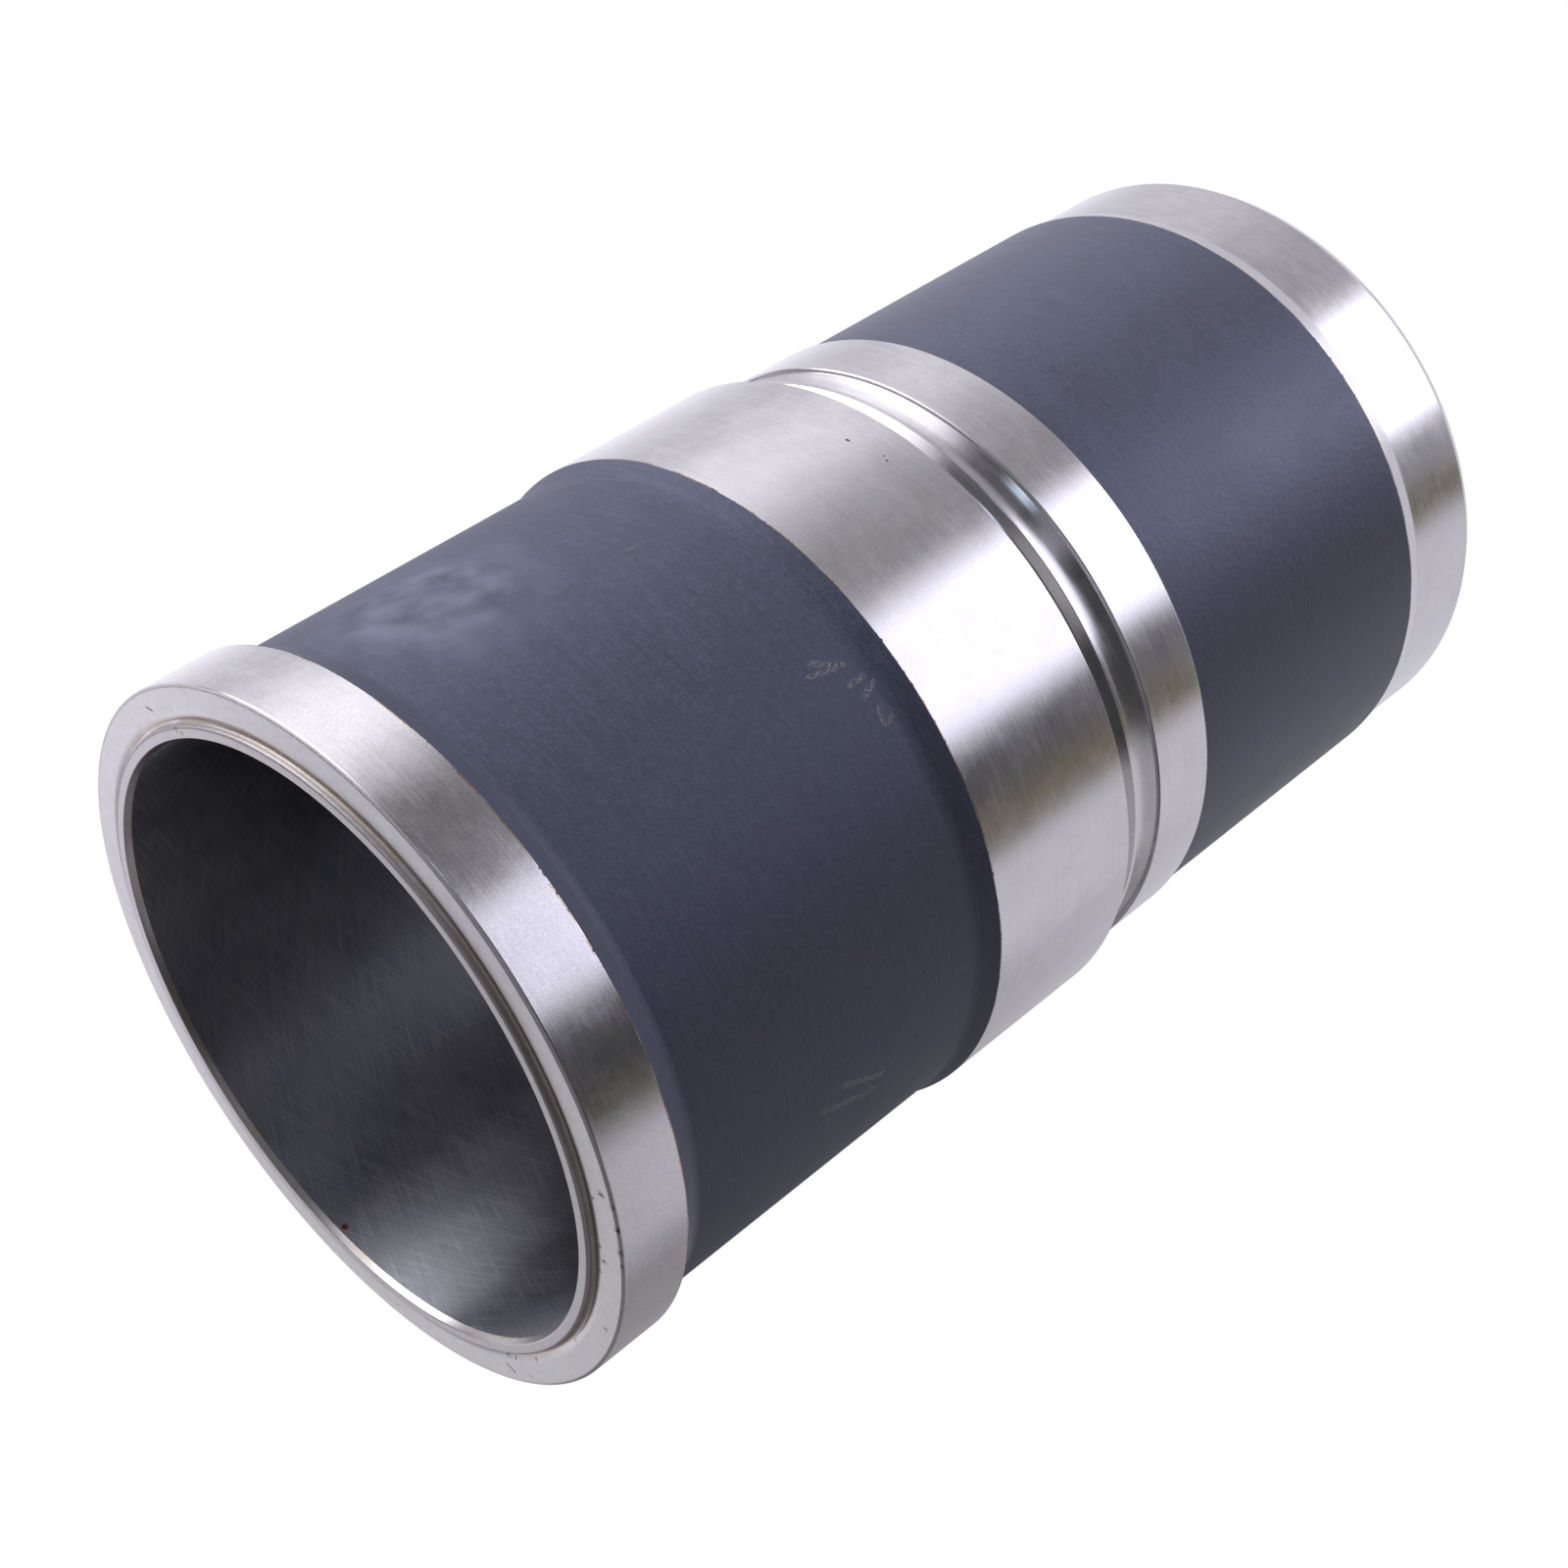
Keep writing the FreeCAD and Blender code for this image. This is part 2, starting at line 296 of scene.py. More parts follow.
# %% A wrapper for sockets and one method for nodes
class Flow:
    """A number, colour or vector that flows through a node tree."""

    def __init__(self, tree, socket):
        self.tree = tree
        self.socket = socket

    def math(self, operation, second=0.0, clamp=False):
        """A Math node of this number and a second one."""
        settings = {"operation": operation, "use_clamp": clamp}
        return self.tree.node("ShaderNodeMath", settings, {0: self, 1: second})

    def reflected(self, operation, first):
        """A Math node of another number and this one."""
        return self.tree.node("ShaderNodeMath", {"operation": operation}, {0: first, 1: self})

    def __add__(self, other):
        return self.math("ADD", other)

    def __radd__(self, other):
        return self.reflected("ADD", other)

    def __sub__(self, other):
        return self.math("SUBTRACT", other)

    def __rsub__(self, other):
        return self.reflected("SUBTRACT", other)

    def __mul__(self, other):
        return self.math("MULTIPLY", other)

    def __rmul__(self, other):
        return self.reflected("MULTIPLY", other)

    def __truediv__(self, other):
        return self.math("DIVIDE", other)

    def __pow__(self, other):
        return self.math("POWER", other)

    def __abs__(self):
        return self.math("ABSOLUTE")

    def clamped(self):
        """The same number, kept between 0 and 1."""
        return self.math("ADD", clamp=True)


class Tree:
    """A node tree that is written as formulas."""

    def __init__(self, node_tree):
        self.node_tree = node_tree
        self.node_tree.nodes.clear()

    def node(self, kind, settings=None, inputs=None, output=0):
        """Add a node, set it up, fill its sockets and return what flows out of it."""
        node = self.node_tree.nodes.new(kind)
        for name, value in (settings or {}).items():
            setattr(node, name, value)
        for name, value in (inputs or {}).items():
            if isinstance(value, Flow):
                self.node_tree.links.new(value.socket, node.inputs[name])
            else:
                node.inputs[name].default_value = value
        if isinstance(output, tuple):
            return [Flow(self, node.outputs[name]) for name in output]
        return Flow(self, node.outputs[output]) if node.outputs else None

    def ease(self, value, low, high):
        """0 at low, 1 at high, and a soft step between them."""
        return self.node(
            "ShaderNodeMapRange", {"interpolation_type": "SMOOTHSTEP"},
            {"Value": value, "From Min": low, "From Max": high, "To Min": 0.0, "To Max": 1.0})

    def blend(self, share, first, second):
        """A colour that goes from first to second as share goes from 0 to 1."""
        ends = {0: share, 6: as_colour(first), 7: as_colour(second)}
        return self.node("ShaderNodeMix", {"data_type": "RGBA", "clamp_factor": True}, ends, output=2)

    def split(self, vector):
        """The three parts of a vector."""
        return self.node("ShaderNodeSeparateXYZ", None, {0: vector}, output=("X", "Y", "Z"))

    def joined(self, x, y, z):
        """A vector of three numbers."""
        return self.node("ShaderNodeCombineXYZ", None, {0: x, 1: y, 2: z})


def as_colour(value):
    """Three numbers as a colour with alpha, and a flow as it is."""
    return value if isinstance(value, Flow) else (*value, 1.0)


# %% [markdown]
# ## Where a point lies on the liner
# Every finish asks the same questions of a point: how high it is, and how far from the axis. Both come
# from Object coordinates, which stay with the piece in every view. Turning lines run round the axis, so
# they are noise that is stretched round it and squeezed across it. Level plus radius is the way across,
# on a wall and on a face alike. A mark lies where the distance to its own centre is small.

# %% Places, lines and marks
SPOT_CORE = 0.3
STROKE_CORE = 0.2


def point_on(azimuth, radius, level):
    """The point at a turn round the axis, in degrees from the camera's side, a radius and a level."""
    turn = math.radians(azimuth)
    return Vector((-radius * math.sin(turn), -radius * math.cos(turn), level))


class LinerFinish(Tree):
    """A material of the liner, with the places and patterns that its finishes share."""

    def __init__(self, name):
        self.material = bpy.data.materials.new(name)
        self.material.use_nodes = True
        super().__init__(self.material.node_tree)
        self.place = self.node("ShaderNodeTexCoord", output="Object")
        self.x, self.y, self.level = self.split(self.place)
        self.radius = (self.x * self.x + self.y * self.y) ** 0.5

    def noise(self, pitch, detail=2.0, vector=None):
        """Soft noise between 0 and 1 whose blots are about a pitch apart."""
        inputs = {"Vector": vector or self.place, "Scale": 1.0 / pitch, "Detail": detail}
        return self.node("ShaderNodeTexNoise", None, inputs)

    def lines(self, pitch, length):
        """Lines round the axis, about a pitch apart and a length long."""
        across = (self.level + self.radius) / pitch
        stretched = self.joined(self.x / length, self.y / length, across)
        return self.noise(1.0, 1.0, stretched)

    def specks(self, pitch, size, share):
        """1 in small spots, for a share of the cells that are a pitch wide."""
        distance, colour = self.node(
            "ShaderNodeTexVoronoi", None, {"Vector": self.place, "Scale": 1.0 / pitch},
            output=("Distance", "Color"))
        luck, width, _ = self.split(colour)
        chosen = self.ease(luck, share + 0.01, share)
        reach = size / pitch
        return chosen * self.ease(distance, width * reach, width * (0.5 * reach))

    def vectors(self, operation, inputs, output=0):
        """A Vector Math node."""
        return self.node("ShaderNodeVectorMath", {"operation": operation}, inputs, output)

    def spot(self, place, size, stretch=1.0):
        """A soft round spot at a place. Stretch makes it longer along the axis."""
        offset = self.vectors("SUBTRACT", {0: self.place, 1: point_on(*place)})
        if stretch != 1.0:
            offset = self.vectors("MULTIPLY", {0: offset, 1: (1, 1, 1 / stretch)})
        return self.ease(self.vectors("LENGTH", {0: offset}, output=1), size, SPOT_CORE * size)

    def stroke(self, start, end, width):
        """A soft streak from one place to another."""
        first = point_on(*start)
        along = point_on(*end) - first
        offset = self.vectors("SUBTRACT", {0: self.place, 1: first})
        reach = self.vectors("DOT_PRODUCT", {0: offset, 1: along}, output=1) / along.length_squared
        nearest = self.vectors("SCALE", {0: along, 3: reach.clamped()})
        distance = self.vectors("DISTANCE", {0: offset, 1: nearest}, output=1)
        return self.ease(distance, width, STROKE_CORE * width)

    def most(self, marks):
        """The strongest of several marks."""
        total = marks[0]
        for mark in marks[1:]:
            total = total.math("MAXIMUM", mark)
        return total

    def tilted(self, height, depth):
        """A normal that is tilted by a height pattern of the given depth."""
        return self.node("ShaderNodeBump", None, {"Distance": depth, "Height": height})

    def surface(self, **sockets):
        """A Principled shader, with values or flows in the named sockets."""
        inputs = {name.replace("_", " "): value for name, value in sockets.items()}
        return self.node("ShaderNodeBsdfPrincipled", None, inputs)

    def finish(self, surface):
        """End the material in a shader."""
        self.node("ShaderNodeOutputMaterial", None, {"Surface": surface})
        return self.material


# %% [markdown]
# ## The outside: bare bands and coated lengths
# The coating was put on before the bands were ground to size, so each border is where the grinding
# stopped. It wanders by a tenth or two of a millimetre, and small teeth of coating are left in the last
# turning marks. The border is written as a depth: how far a point lies inside the coating.

# %% The coating's borders
WANDER_LENGTH = 12 * MM
BORDER_WANDER = 0.24 * MM
TOOTH_PITCH = 0.6 * MM
TOOTH_SHARE = (0.56, 0.74)
TOOTH = 0.30 * MM
COATED_SPANS = [
    (MIDDLE_HIGH, RIM_LOW),
    (PILOT_HIGH + PILOT_BEVEL, LOWER_LOW - LOWER_STEP / 2),
]


def depth_in_coating(finish):
    """How far a point lies inside the coating's nearest border. It is negative on the bare iron."""
    depths = []
    for low, high in COATED_SPANS:
        depths.append((high - low) / 2 - abs(finish.level - (low + high) / 2))
    slow = (finish.noise(WANDER_LENGTH) - 0.5) * BORDER_WANDER
    teeth = finish.ease(finish.noise(TOOTH_PITCH), *TOOTH_SHARE) * TOOTH
    return finish.most(depths) + slow + teeth


# %% [markdown]
# The coating is a phosphate-like skin: a dark, bluish slate with a fine grain, matt, with the turning
# lines of the iron below still showing in it. Handling has left hazy smudges and a few rubs that broke
# up into light grains. A smudge is a soft spot and a rub is a soft streak, and the grain breaks both up.

# %% The smudges and rubs on the coating
SMUDGES = [
    # Place (turn, radius, level), size, and how far it is stretched along the axis.
    ((-54, UPPER_JACKET_R, 224 * MM), 28 * MM, 1.1),
    ((3, LOWER_JACKET_R, 54 * MM), 12 * MM, 1.6),
    ((7, LOWER_JACKET_R, 32 * MM), 7 * MM, 2.0),
    ((-57, 73.4 * MM, 172.3 * MM), 3.5 * MM, 0.4),
]
RUBS = [
    # Start, end and width.
    ((-8.3, UPPER_JACKET_R, 182.5 * MM), (-5.7, UPPER_JACKET_R, 176.8 * MM), 0.9 * MM),
    ((-6.9, UPPER_JACKET_R, 184.8 * MM), (-5.8, UPPER_JACKET_R, 178.3 * MM), 0.8 * MM),
    ((-2.7, UPPER_JACKET_R, 178.8 * MM), (-2.7, UPPER_JACKET_R, 174.8 * MM), 0.8 * MM),
    ((-0.1, UPPER_JACKET_R, 177.6 * MM), (-1.2, UPPER_JACKET_R, 173.8 * MM), 1.0 * MM),
    ((2.2, UPPER_JACKET_R, 176.0 * MM), (4.8, UPPER_JACKET_R, 177.0 * MM), 0.6 * MM),
    ((4.9, UPPER_JACKET_R, 176.5 * MM), (4.4, UPPER_JACKET_R, 174.2 * MM), 0.7 * MM),
    ((52.1, UPPER_JACKET_R, 210.3 * MM), (56.5, UPPER_JACKET_R, 199.5 * MM), 1.2 * MM),
    ((54.6, UPPER_JACKET_R, 215.6 * MM), (58.9, UPPER_JACKET_R, 201.2 * MM), 1.2 * MM),
    ((-40.4, UPPER_JACKET_R, 191.0 * MM), (-40.4, UPPER_JACKET_R, 189.2 * MM), 0.4 * MM),
]

# %% The coating
# Levels over which painted shade darkens the coating towards the flange.
FLANGE_SHADE_LEVELS = (80 * MM, 180 * MM)
COAT_CLOUDS = 9 * MM
LEATHER_PITCH = 1.3 * MM
COAT_SPECKS = (3.2 * MM, 0.28 * MM, 0.12)
COAT_DULL = 0.54
COAT_RELIEF = 0.06 * MM
SLATE = (0.011, 0.0125, 0.021)
SLATE_LIGHT = (0.030, 0.0325, 0.050)
SLATE_IOR = 1.78
SLATE_GLOSS = (0.70, 0.75, 1.0, 1.0)
HAZE = (0.050, 0.053, 0.078)
RUBBED = (0.17, 0.17, 0.15)


def slate_surface(f, lines, grain):
    """The coating, darker towards the flange by painted shade, with its smudges and rubs."""
    clouds = f.noise(COAT_CLOUDS)
    leather = f.noise(LEATHER_PITCH)
    # Painted shade: the coating's colour is darkened towards the flange, where less light reaches it;
    # the same ramp makes it a little rougher there.
    shade_towards_flange = f.ease(f.level, *FLANGE_SHADE_LEVELS) - 0.5
    shade = (clouds - 0.5) * 0.8 + (leather - 0.5) * 1.5 - shade_towards_flange * 0.5
    shade = shade + (lines - 0.5) * 1.6 + (grain - 0.5) * 5.0
    colour = f.blend(0.5 + shade, SLATE, SLATE_LIGHT)
    smudged = f.most([f.spot(*smudge) for smudge in SMUDGES]) * f.ease(clouds, 0.28, 0.72) * 1.15
    rubbed = f.most([f.stroke(*rub) for rub in RUBS]) * (f.ease(grain, 0.48, 0.62) + 0.02)
    colour = f.blend(smudged, colour, HAZE)
    colour = f.blend(f.specks(*COAT_SPECKS) * 0.35 + rubbed * 0.8, colour, RUBBED)
    return f.surface(
        Base_Color=colour,
        Roughness=COAT_DULL + shade_towards_flange * 0.14 + (grain - 0.5) * 0.3 + (clouds - 0.5) * 0.10,
        IOR=SLATE_IOR,
        Specular_Tint=SLATE_GLOSS,
        Normal=f.tilted(lines * 0.35 + grain * 0.5 + leather * 0.9, COAT_RELIEF))


# %% [markdown]
# The bare bands are ground bright, with hair lines round the axis, a slight swell that frays the edges
# of every reflection, and clouds from fingers and oil. The flange was ground with a coarser wheel than
# the bands below. A thin brown line shows on the iron where the coating runs out, and the middle band
# has a few pits.

# %% The ground iron
PITS = [
    # Place (turn, radius, level), size, and how far it is stretched along the axis.
    ((-35.7, MIDDLE_R, 138.0 * MM), 0.8 * MM, 0.6),
    ((-28.6, MIDDLE_R, 136.6 * MM), 0.4 * MM, 1.0),
    ((-29.6, MIDDLE_R, 136.0 * MM), 0.3 * MM, 1.0),
]
BORDER_EDGE = 0.05 * MM
BORDER_LINE = 0.24 * MM
ALONG_THE_LINES = 0.25
GROUND_CLOUDS = 8 * MM
GROUND_MOTTLE = 2.2 * MM
GROUND_SPECKS = (5 * MM, 0.35 * MM, 0.10)
GROUND_COARSE = (240 * MM, 250 * MM)
GROUND_DULL = 0.19
GROUND_RELIEF = 0.012 * MM
IRON = (0.55, 0.54, 0.55)
IRON_LIGHT = (0.66, 0.645, 0.66)
BORDER_BROWN = (0.34, 0.21, 0.11)
PIT = (0.10, 0.07, 0.06)


def ground_surface(f, lines, grain, depth):
    """Ground iron, with its pits and the brown line beside the coating."""
    clouds = f.noise(GROUND_CLOUDS, 3.0)
    mottle = f.noise(GROUND_MOTTLE)
    shade = (clouds - 0.5) * 1.2 + (mottle - 0.5) * 0.6
    coarse = 1.2 + f.ease(f.level, *GROUND_COARSE) * 1.5
    shade = shade + (lines - 0.5) * 0.8 + (grain - 0.5) * coarse
    colour = f.blend(0.5 + shade, IRON, IRON_LIGHT)
    border = f.ease(depth, -BORDER_LINE - BORDER_EDGE, -BORDER_LINE + BORDER_EDGE)
    pits = f.most([f.spot(*pit) for pit in PITS])
    colour = f.blend(f.specks(*GROUND_SPECKS) * 0.6 + pits, colour, PIT)
    colour = f.blend(border * f.ease(clouds, 0.38, 0.56) * 0.85, colour, BORDER_BROWN)
    dull = GROUND_DULL + (lines - 0.5) * 0.10 + (clouds - 0.5) * 0.16 + (mottle - 0.5) * 0.06
    waves = lines * 0.30 + grain * 0.12 + mottle * 0.35 + clouds * 1.5
    return f.surface(
        Base_Color=colour,
        Metallic=1.0,
        Roughness=dull,
        Anisotropic=0.3,
        Anisotropic_Rotation=ALONG_THE_LINES,
        Normal=f.tilted(waves, GROUND_RELIEF))


# %% [markdown]
# One material holds both finishes, and the depth inside the coating says which one shows. A border
# between faces would have to run round at one level, and a mask can wander. Both finishes share their
# lines and their grain, because the coating lies on the same turned iron.

# %% Both finishes in one material
OUTSIDE_LINES = (0.34 * MM, 12 * MM)
GRAIN_PITCH = 0.34 * MM


def outside_finish():
    """Ground iron, with the coating over the wet lengths and their bevels."""
    f = LinerFinish("coated and ground outside")
    depth = depth_in_coating(f)
    lines = f.lines(*OUTSIDE_LINES)
    grain = f.noise(GRAIN_PITCH)
    iron = ground_surface(f, lines, grain, depth)
    slate = slate_surface(f, lines, grain)
    coated = f.ease(depth, -BORDER_EDGE, BORDER_EDGE)
    return f.finish(f.node("ShaderNodeMixShader", None, {0: coated, 1: iron, 2: slate}))


# %% [markdown]
# ## The machined faces
# Liners are stacked and clamped on their gasket faces, so that face and the ring carry the most nicks.
# Each is a small dark spot that the grain breaks up, and three are short scratches.

# %% The nicks and scratches
NICKS = [
    # Place (turn, radius, level) and size.
    ((37.8, 73.2 * MM, FACE), 1.1 * MM),
    ((39.2, 75.6 * MM, FACE), 0.9 * MM),
    ((39.5, 70.3 * MM, FACE), 0.8 * MM),
    ((43.3, 75.6 * MM, FACE), 1.2 * MM),
    ((47.5, 75.6 * MM, FACE), 1.3 * MM),
    ((50.2, 75.6 * MM, FACE), 0.8 * MM),
    ((49.4, 70.1 * MM, FACE), 0.9 * MM),
    ((52.2, 71.0 * MM, FACE), 0.9 * MM),
    ((55.2, 69.8 * MM, FACE), 0.8 * MM),
    ((67.8, 73.3 * MM, FACE), 0.7 * MM),
    ((79.1, 69.3 * MM, FACE), 0.6 * MM),
    ((96.3, 69.9 * MM, FACE), 0.7 * MM),
    ((101.3, 73.7 * MM, FACE), 0.6 * MM),
    ((105.3, 69.3 * MM, FACE), 1.0 * MM),
    ((137.0, 72.6 * MM, FACE), 0.5 * MM),
    ((-72.2, 67.5 * MM, RING_TOP), 0.8 * MM),
    ((-70.6, 66.7 * MM, RING_TOP), 0.6 * MM),
    ((-80.7, 67.8 * MM, RING_TOP), 0.6 * MM),
    ((-89.5, 67.7 * MM, RING_TOP), 0.4 * MM),
]
SCRATCHES = [
    # Start, end and width.
    ((-80.2, 72.7 * MM, FACE), (-79.0, 71.7 * MM, FACE), 0.35 * MM),
    ((107.2, 71.7 * MM, FACE), (106.0, 73.5 * MM, FACE), 0.35 * MM),
    ((102.4, 68.9 * MM, FACE), (103.3, 70.0 * MM, FACE), 0.30 * MM),
]

# %% [markdown]
# The gasket face, the fire ring and the foot were turned and never ground. Their lines spread light
# away from the axis. Oil has stained the face, most of all in the root of the ring. The fire ring was
# turned with a blunter tool, so it is a little duller, and the broken edges of the ring and the flange
# are duller still.

# %% The machined faces
FACE_IRON = (0.48, 0.465, 0.475)
FACE_IRON_LIGHT = (0.60, 0.575, 0.585)
RING_DULL = 0.25
NICK = (0.05, 0.04, 0.04)
NICK_GRAIN = 0.38 * MM
STAIN = (0.40, 0.345, 0.28)
STAINED_ROOT = (RING_R + 2.3 * MM, RING_R + 0.7 * MM)
FACE_LINES = (0.30 * MM, 16 * MM)
FACE_STAINS = 7 * MM
FACE_MOTTLE = 1.6 * MM
FACE_SPECKS = (2.6 * MM, 0.28 * MM, 0.10)
FACE_DULL = 0.30
FACE_RELIEF = 0.012 * MM
RING_RISES = (FACE + 0.4 * MM, FACE + 0.8 * MM)
RING_EDGE = RING_R - EDGE_BREAK / 2
RING_EDGE_REACH = (0.5 * MM, 0.3 * MM)
RIM_EDGE = (RIM_R - 0.9 * MM, RIM_R - 0.5 * MM)
EDGE_DULL = 0.25


def faces_finish():
    """Turned iron: fine lines, stains and small dark nicks."""
    f = LinerFinish("machined faces")
    lines = f.lines(*FACE_LINES)
    stains = f.noise(FACE_STAINS, 3.0)
    mottle = f.noise(FACE_MOTTLE)
    nicked = f.most([f.spot(*nick) for nick in NICKS]) * f.ease(f.noise(NICK_GRAIN), 0.46, 0.52)
    nicked = f.most([nicked] + [f.stroke(*scratch) for scratch in SCRATCHES])
    on_ring = f.ease(f.level, *RING_RISES)
    root = f.ease(f.radius, *STAINED_ROOT) * f.ease(stains, 0.25, 0.6) * (1.0 - on_ring)
    ring_edge = f.ease(abs(f.radius - RING_EDGE), *RING_EDGE_REACH)
    rim_edge = f.ease(f.radius, *RIM_EDGE)
    iron = f.blend(0.5 + (stains - 0.5) * 1.5 + (mottle - 0.5) * 1.2, FACE_IRON, FACE_IRON_LIGHT)
    iron = f.blend(root * 0.7, iron, STAIN)
    iron = f.blend(on_ring * RING_DULL, iron, PIT)
    iron = f.blend(f.specks(*FACE_SPECKS) * 0.5 + nicked, iron, NICK)
    return f.finish(f.surface(
        Base_Color=iron,
        Metallic=1.0,
        Roughness=FACE_DULL + (stains - 0.5) * 0.12 + f.most([ring_edge, rim_edge]) * EDGE_DULL,
        Anisotropic=0.4,
        Anisotropic_Rotation=ALONG_THE_LINES,
        Normal=f.tilted(lines * 0.5 + mottle * 0.5, FACE_RELIEF)))


# %% [markdown]
# ## The honed bore
# Honing leaves a cross-hatch: two sets of fine scratches that climb the wall both ways. They lie nearly
# level, so they spread a highlight up and down, which anisotropy does without one bump for each. A bore
# that isn't oiled rusts, and one small spot has started just below the mouth.

# %% The honed bore
HATCH_CLIMB = 0.42
HATCH_LENGTH = 14 * MM
HATCH_PITCH = 0.28 * MM
HATCH_DEPTH = (0.50, 0.66)
BORE_IRON = (0.19, 0.195, 0.22)
BORE_IRON_LIGHT = (0.37, 0.37, 0.40)
RUST = (0.15, 0.05, 0.035)
RUST_SPOT = ((151.8, BORE_R, 267.8 * MM), 1.1 * MM)
BORE_CLOUDS = 11 * MM
BORE_DULL = 0.42
BORE_RELIEF = 0.01 * MM


def hatch(finish, climb):
    """Scratches that climb the bore's wall at a slope."""
    turn = finish.x.math("ARCTAN2", finish.y)
    along = turn * BORE_R
    across = finish.level - along * climb
    scratched = finish.noise(1.0, 2.0, finish.joined(along / HATCH_LENGTH, across / HATCH_PITCH, 0.0))
    return finish.ease(scratched, *HATCH_DEPTH)


def bore_finish():
    """Honed iron with its cross-hatch."""
    f = LinerFinish("honed bore")
    scratches = (hatch(f, HATCH_CLIMB) + hatch(f, -HATCH_CLIMB)).clamped()
    clouds = f.noise(BORE_CLOUDS, 3.0)
    iron = f.blend(clouds * 0.5 + scratches * 0.5, BORE_IRON, BORE_IRON_LIGHT)
    return f.finish(f.surface(
        Base_Color=f.blend(f.spot(*RUST_SPOT), iron, RUST),
        Metallic=1.0,
        Roughness=BORE_DULL + (clouds - 0.5) * 0.16 + scratches * 0.10,
        Anisotropic=0.9,
        Anisotropic_Rotation=ALONG_THE_LINES,
        Normal=f.tilted(scratches, BORE_RELIEF)))


# %% [markdown]
# Each face of the mesh gets its finish by where it lies and which way it points. The honed bore faces
# the axis, the turned faces lie at the two ends, and all the rest is the outside.

# %% Give each face its finish
FACING_AXIS = -0.9
FOOT_DEPTH = 0.01 * MM
OUTSIDE, FACES, BORE = range(3)
for made in (outside_finish(), faces_finish(), bore_finish()):
    liner.data.materials.append(made)


def finish_of(face):
    """Which finish a face of the liner has."""
    centre = Vector(face.center)
    outwards = Vector((centre.x, centre.y, 0.0)).normalized().dot(face.normal)
    if outwards < FACING_AXIS and centre.z < BORE_HIGH:
        return BORE
    if centre.z > RIM_HIGH + RIM_CHAMFER / 4 or centre.z < FOOT_DEPTH or outwards < 0:
        return FACES
    return OUTSIDE


for face in liner.data.polygons:
    face.material_index = finish_of(face)

print("finishes:", [material.name for material in liner.data.materials])

# %% [markdown]
# ## The floor
# The floor is a sheet of white paper, lit so brightly that it stays white right into the corners and
# keeps no shadow. It simply glows, which also renders quickly. The metal doesn't mirror it, because
# what the liner mirrors is painted into the room around it, which is easier to steer than real lamps.

# %% The floor
FLOOR_R = 6.0
FLOOR_SIDES = 96


def add_floor():
    """A white disc under the liner."""
    disc = bmesh.new()
    bmesh.ops.create_circle(disc, cap_ends=True, segments=FLOOR_SIDES, radius=FLOOR_R)
    mesh = bpy.data.meshes.new("floor")
    disc.to_mesh(mesh)
    disc.free()
    material = bpy.data.materials.new("white paper")
    material.use_nodes = True
    paper = Tree(material.node_tree)
    glow = paper.node("ShaderNodeEmission", None, {"Color": (1, 1, 1, 1), "Strength": 1.0})
    paper.node("ShaderNodeOutputMaterial", None, {"Surface": glow})
    mesh.materials.append(material)
    floor = bpy.data.objects.new("floor", mesh)
    bpy.context.collection.objects.link(floor)
    for kind in ("glossy", "diffuse", "shadow"):
        setattr(floor, "visible_" + kind, False)


add_floor()

# %% [markdown]
# ## The room that the metal mirrors
# Polished metal has no colour of its own to show: it shows the room. So the room is painted as a
# photographer would set it up, with cards, a window and soft lights that stand round the liner. Each
# spans some degrees round the liner and some degrees up or down, with soft edges. Turn 0 is towards the
# camera and grows to its right side seen from the liner, and rise is up from the horizon. A card may
# hide an earlier one.

# %% The cards in the room
WHITE = (1.0, 0.99, 1.05)
COOL = (1.0, 0.985, 1.08)
ROSE = (1.03, 0.98, 1.05)
LILAC = (0.99, 0.985, 1.14)
WOOD = (1.08, 0.96, 0.68)
SKY = (0.84, 1.0, 1.2)
FAR = 400
ALL_ROUND = (-FAR, FAR, 5)
UNLIT = 0.05
CARDS = [
    # What it is, its turn from, to and softness, its rise from, to and softness, brightness and tint.
    ("paper round the liner", ALL_ROUND, (-FAR, 6, 3), 0.78, COOL),
    ("ceiling", ALL_ROUND, (43, FAR, 6), 0.28, WHITE),
    ("wall behind, left half", (-FAR, -128, 15), (-3, 28, 10), 1.59, COOL),
    ("wall behind, right half", (162, FAR, 8), (-8, 34, 11), 1.0, WHITE),
    ("window", (-97, -48, 30), (-37, 40, 8), 1.91, WHITE),
    ("left wall", (-FAR, -140, 21), (-43, 11, 16), 1.09, COOL),
    ("sheet behind, left half", (-FAR, -158, 25), (-57, -10, 16), 1.08, COOL),
    ("gap under the window", (-68, -1, 30), (-49, -22, 2), 0.40, ROSE),
    ("gap beside the window", (-53, -9, 10), (-27, 37, 2), 0.12, COOL),
    ("window, bright part", (-106, -74, 8), (0, 20, 9), 8.5, WHITE),
    ("slit of sky in the gap", (-29, -21, 4), (0, 16, 6), 2.3, SKY),
    ("right wall", (63, 109, 4), (-25, 23, 3), 0.49, ROSE),
    ("right wall, far end", (107, 175, 9), (-34, -3, 9), 0.35, ROSE),
    ("right wall, upper part", (109, 165, 8), (-2, 32, 8), 0.27, ROSE),
    ("dark doorway", (-5, 62, 8), (-48, 24, 15), 0.07, WHITE),
    ("wooden door post", (52, 68, 7), (-53, -27, 2), 0.20, WOOD),
    ("light over the camera", (-15, 20, 8), (27, 33, 2), 0.78, ROSE),
    ("softbox", (-18, 26, 12), (-74, -38, 12), 4.4, LILAC),
    ("softbox, dim upper edge", (-11, 24, 7), (-46, -24, 2), 1.65, LILAC),
    ("paper in front", (-41, 52, 5), (-FAR, -67, 4), 1.55, WHITE),
]

print("cards in the room:", len(CARDS))

# %% [markdown]
# The cards are painted one over another on the world, by the way that a ray leaves the liner. They are
# so wide that plain bounced rays find them well enough, so the room isn't sampled as a lamp. The camera
# itself sees plain white behind the floor.

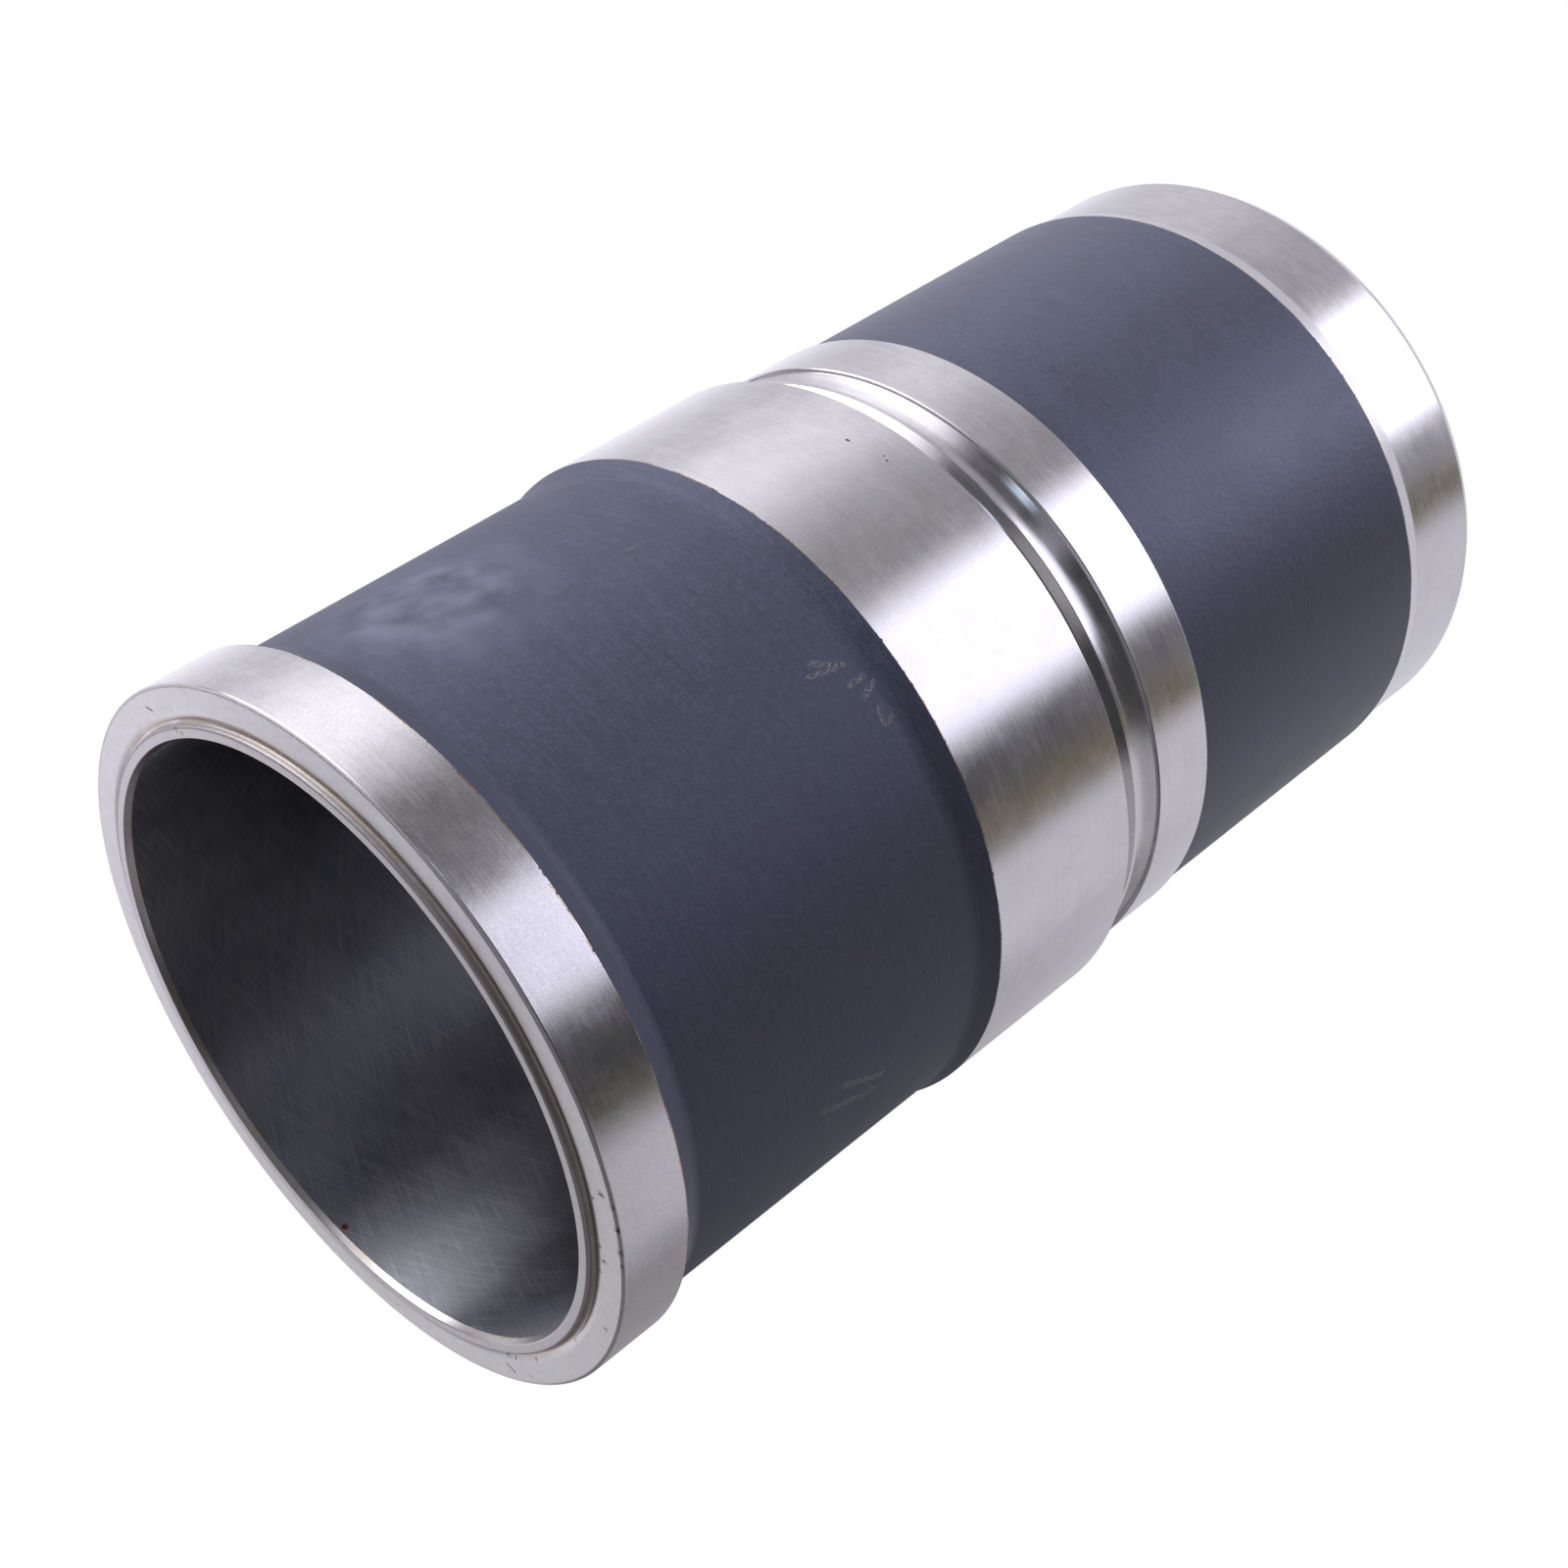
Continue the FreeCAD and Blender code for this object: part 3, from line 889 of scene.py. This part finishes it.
# %% Paint the room
def tinted(brightness, tint):
    """A tint at a brightness."""
    return tuple(brightness * part for part in tint)


def paint_room():
    """A world that holds the cards."""
    world = bpy.data.worlds.new("studio")
    world.use_nodes = True
    world.cycles.sampling_method = "NONE"
    bpy.context.scene.world = world
    room = Tree(world.node_tree)
    x, y, up = room.split(room.node("ShaderNodeTexCoord", output="Generated"))
    turn = (0.0 - x).math("ARCTAN2", 0.0 - y) * math.degrees(1)
    rise = up.math("ARCSINE") * math.degrees(1)

    def within(value, low, high, softness):
        half = (high - low) / 2
        return room.ease(abs(value - (low + high) / 2), half + softness, half - softness)

    seen = tinted(UNLIT, WHITE)
    for _, round_it, upright, brightness, tint in CARDS:
        card = within(rise, *upright)
        if round_it is not ALL_ROUND:
            card = card * within(turn, *round_it)
        seen = room.blend(card, seen, tinted(brightness, tint))
    camera_ray = room.node("ShaderNodeLightPath", output="Is Camera Ray")
    seen = room.blend(camera_ray, seen, (1.0, 1.0, 1.0))
    light = room.node("ShaderNodeBackground", None, {"Color": seen, "Strength": 1.0})
    room.node("ShaderNodeOutputWorld", None, {"Surface": light})
    print("painted:", world.name)


paint_room()

# %% [markdown]
# One real lamp stands low on the window's side. It is very wide and soft, and mirrors don't see it: it
# only lifts the matt coating there, as the window itself would. The picture is made with plain colours,
# so that white paper comes out white.

# %% The soft side light and plain colours
SIDE_TURN = -84
SIDE_RISE = math.radians(5)
SIDE_STRENGTH = 5.1
SIDE_WIDTH = math.radians(90)
SIDE_DISTANCE = 1.0


def add_side_light():
    """A wide soft lamp from the window's side."""
    sun = bpy.data.lights.new("side light", "SUN")
    sun.energy = SIDE_STRENGTH
    sun.angle = SIDE_WIDTH
    lamp = bpy.data.objects.new("side light", sun)
    lamp.location = point_on(SIDE_TURN, SIDE_DISTANCE, SIDE_DISTANCE * math.tan(SIDE_RISE))
    lamp.rotation_euler = lamp.location.to_track_quat("Z", "Y").to_euler()
    lamp.visible_glossy = False
    bpy.context.collection.objects.link(lamp)


add_side_light()
bpy.context.scene.view_settings.view_transform = "Standard"
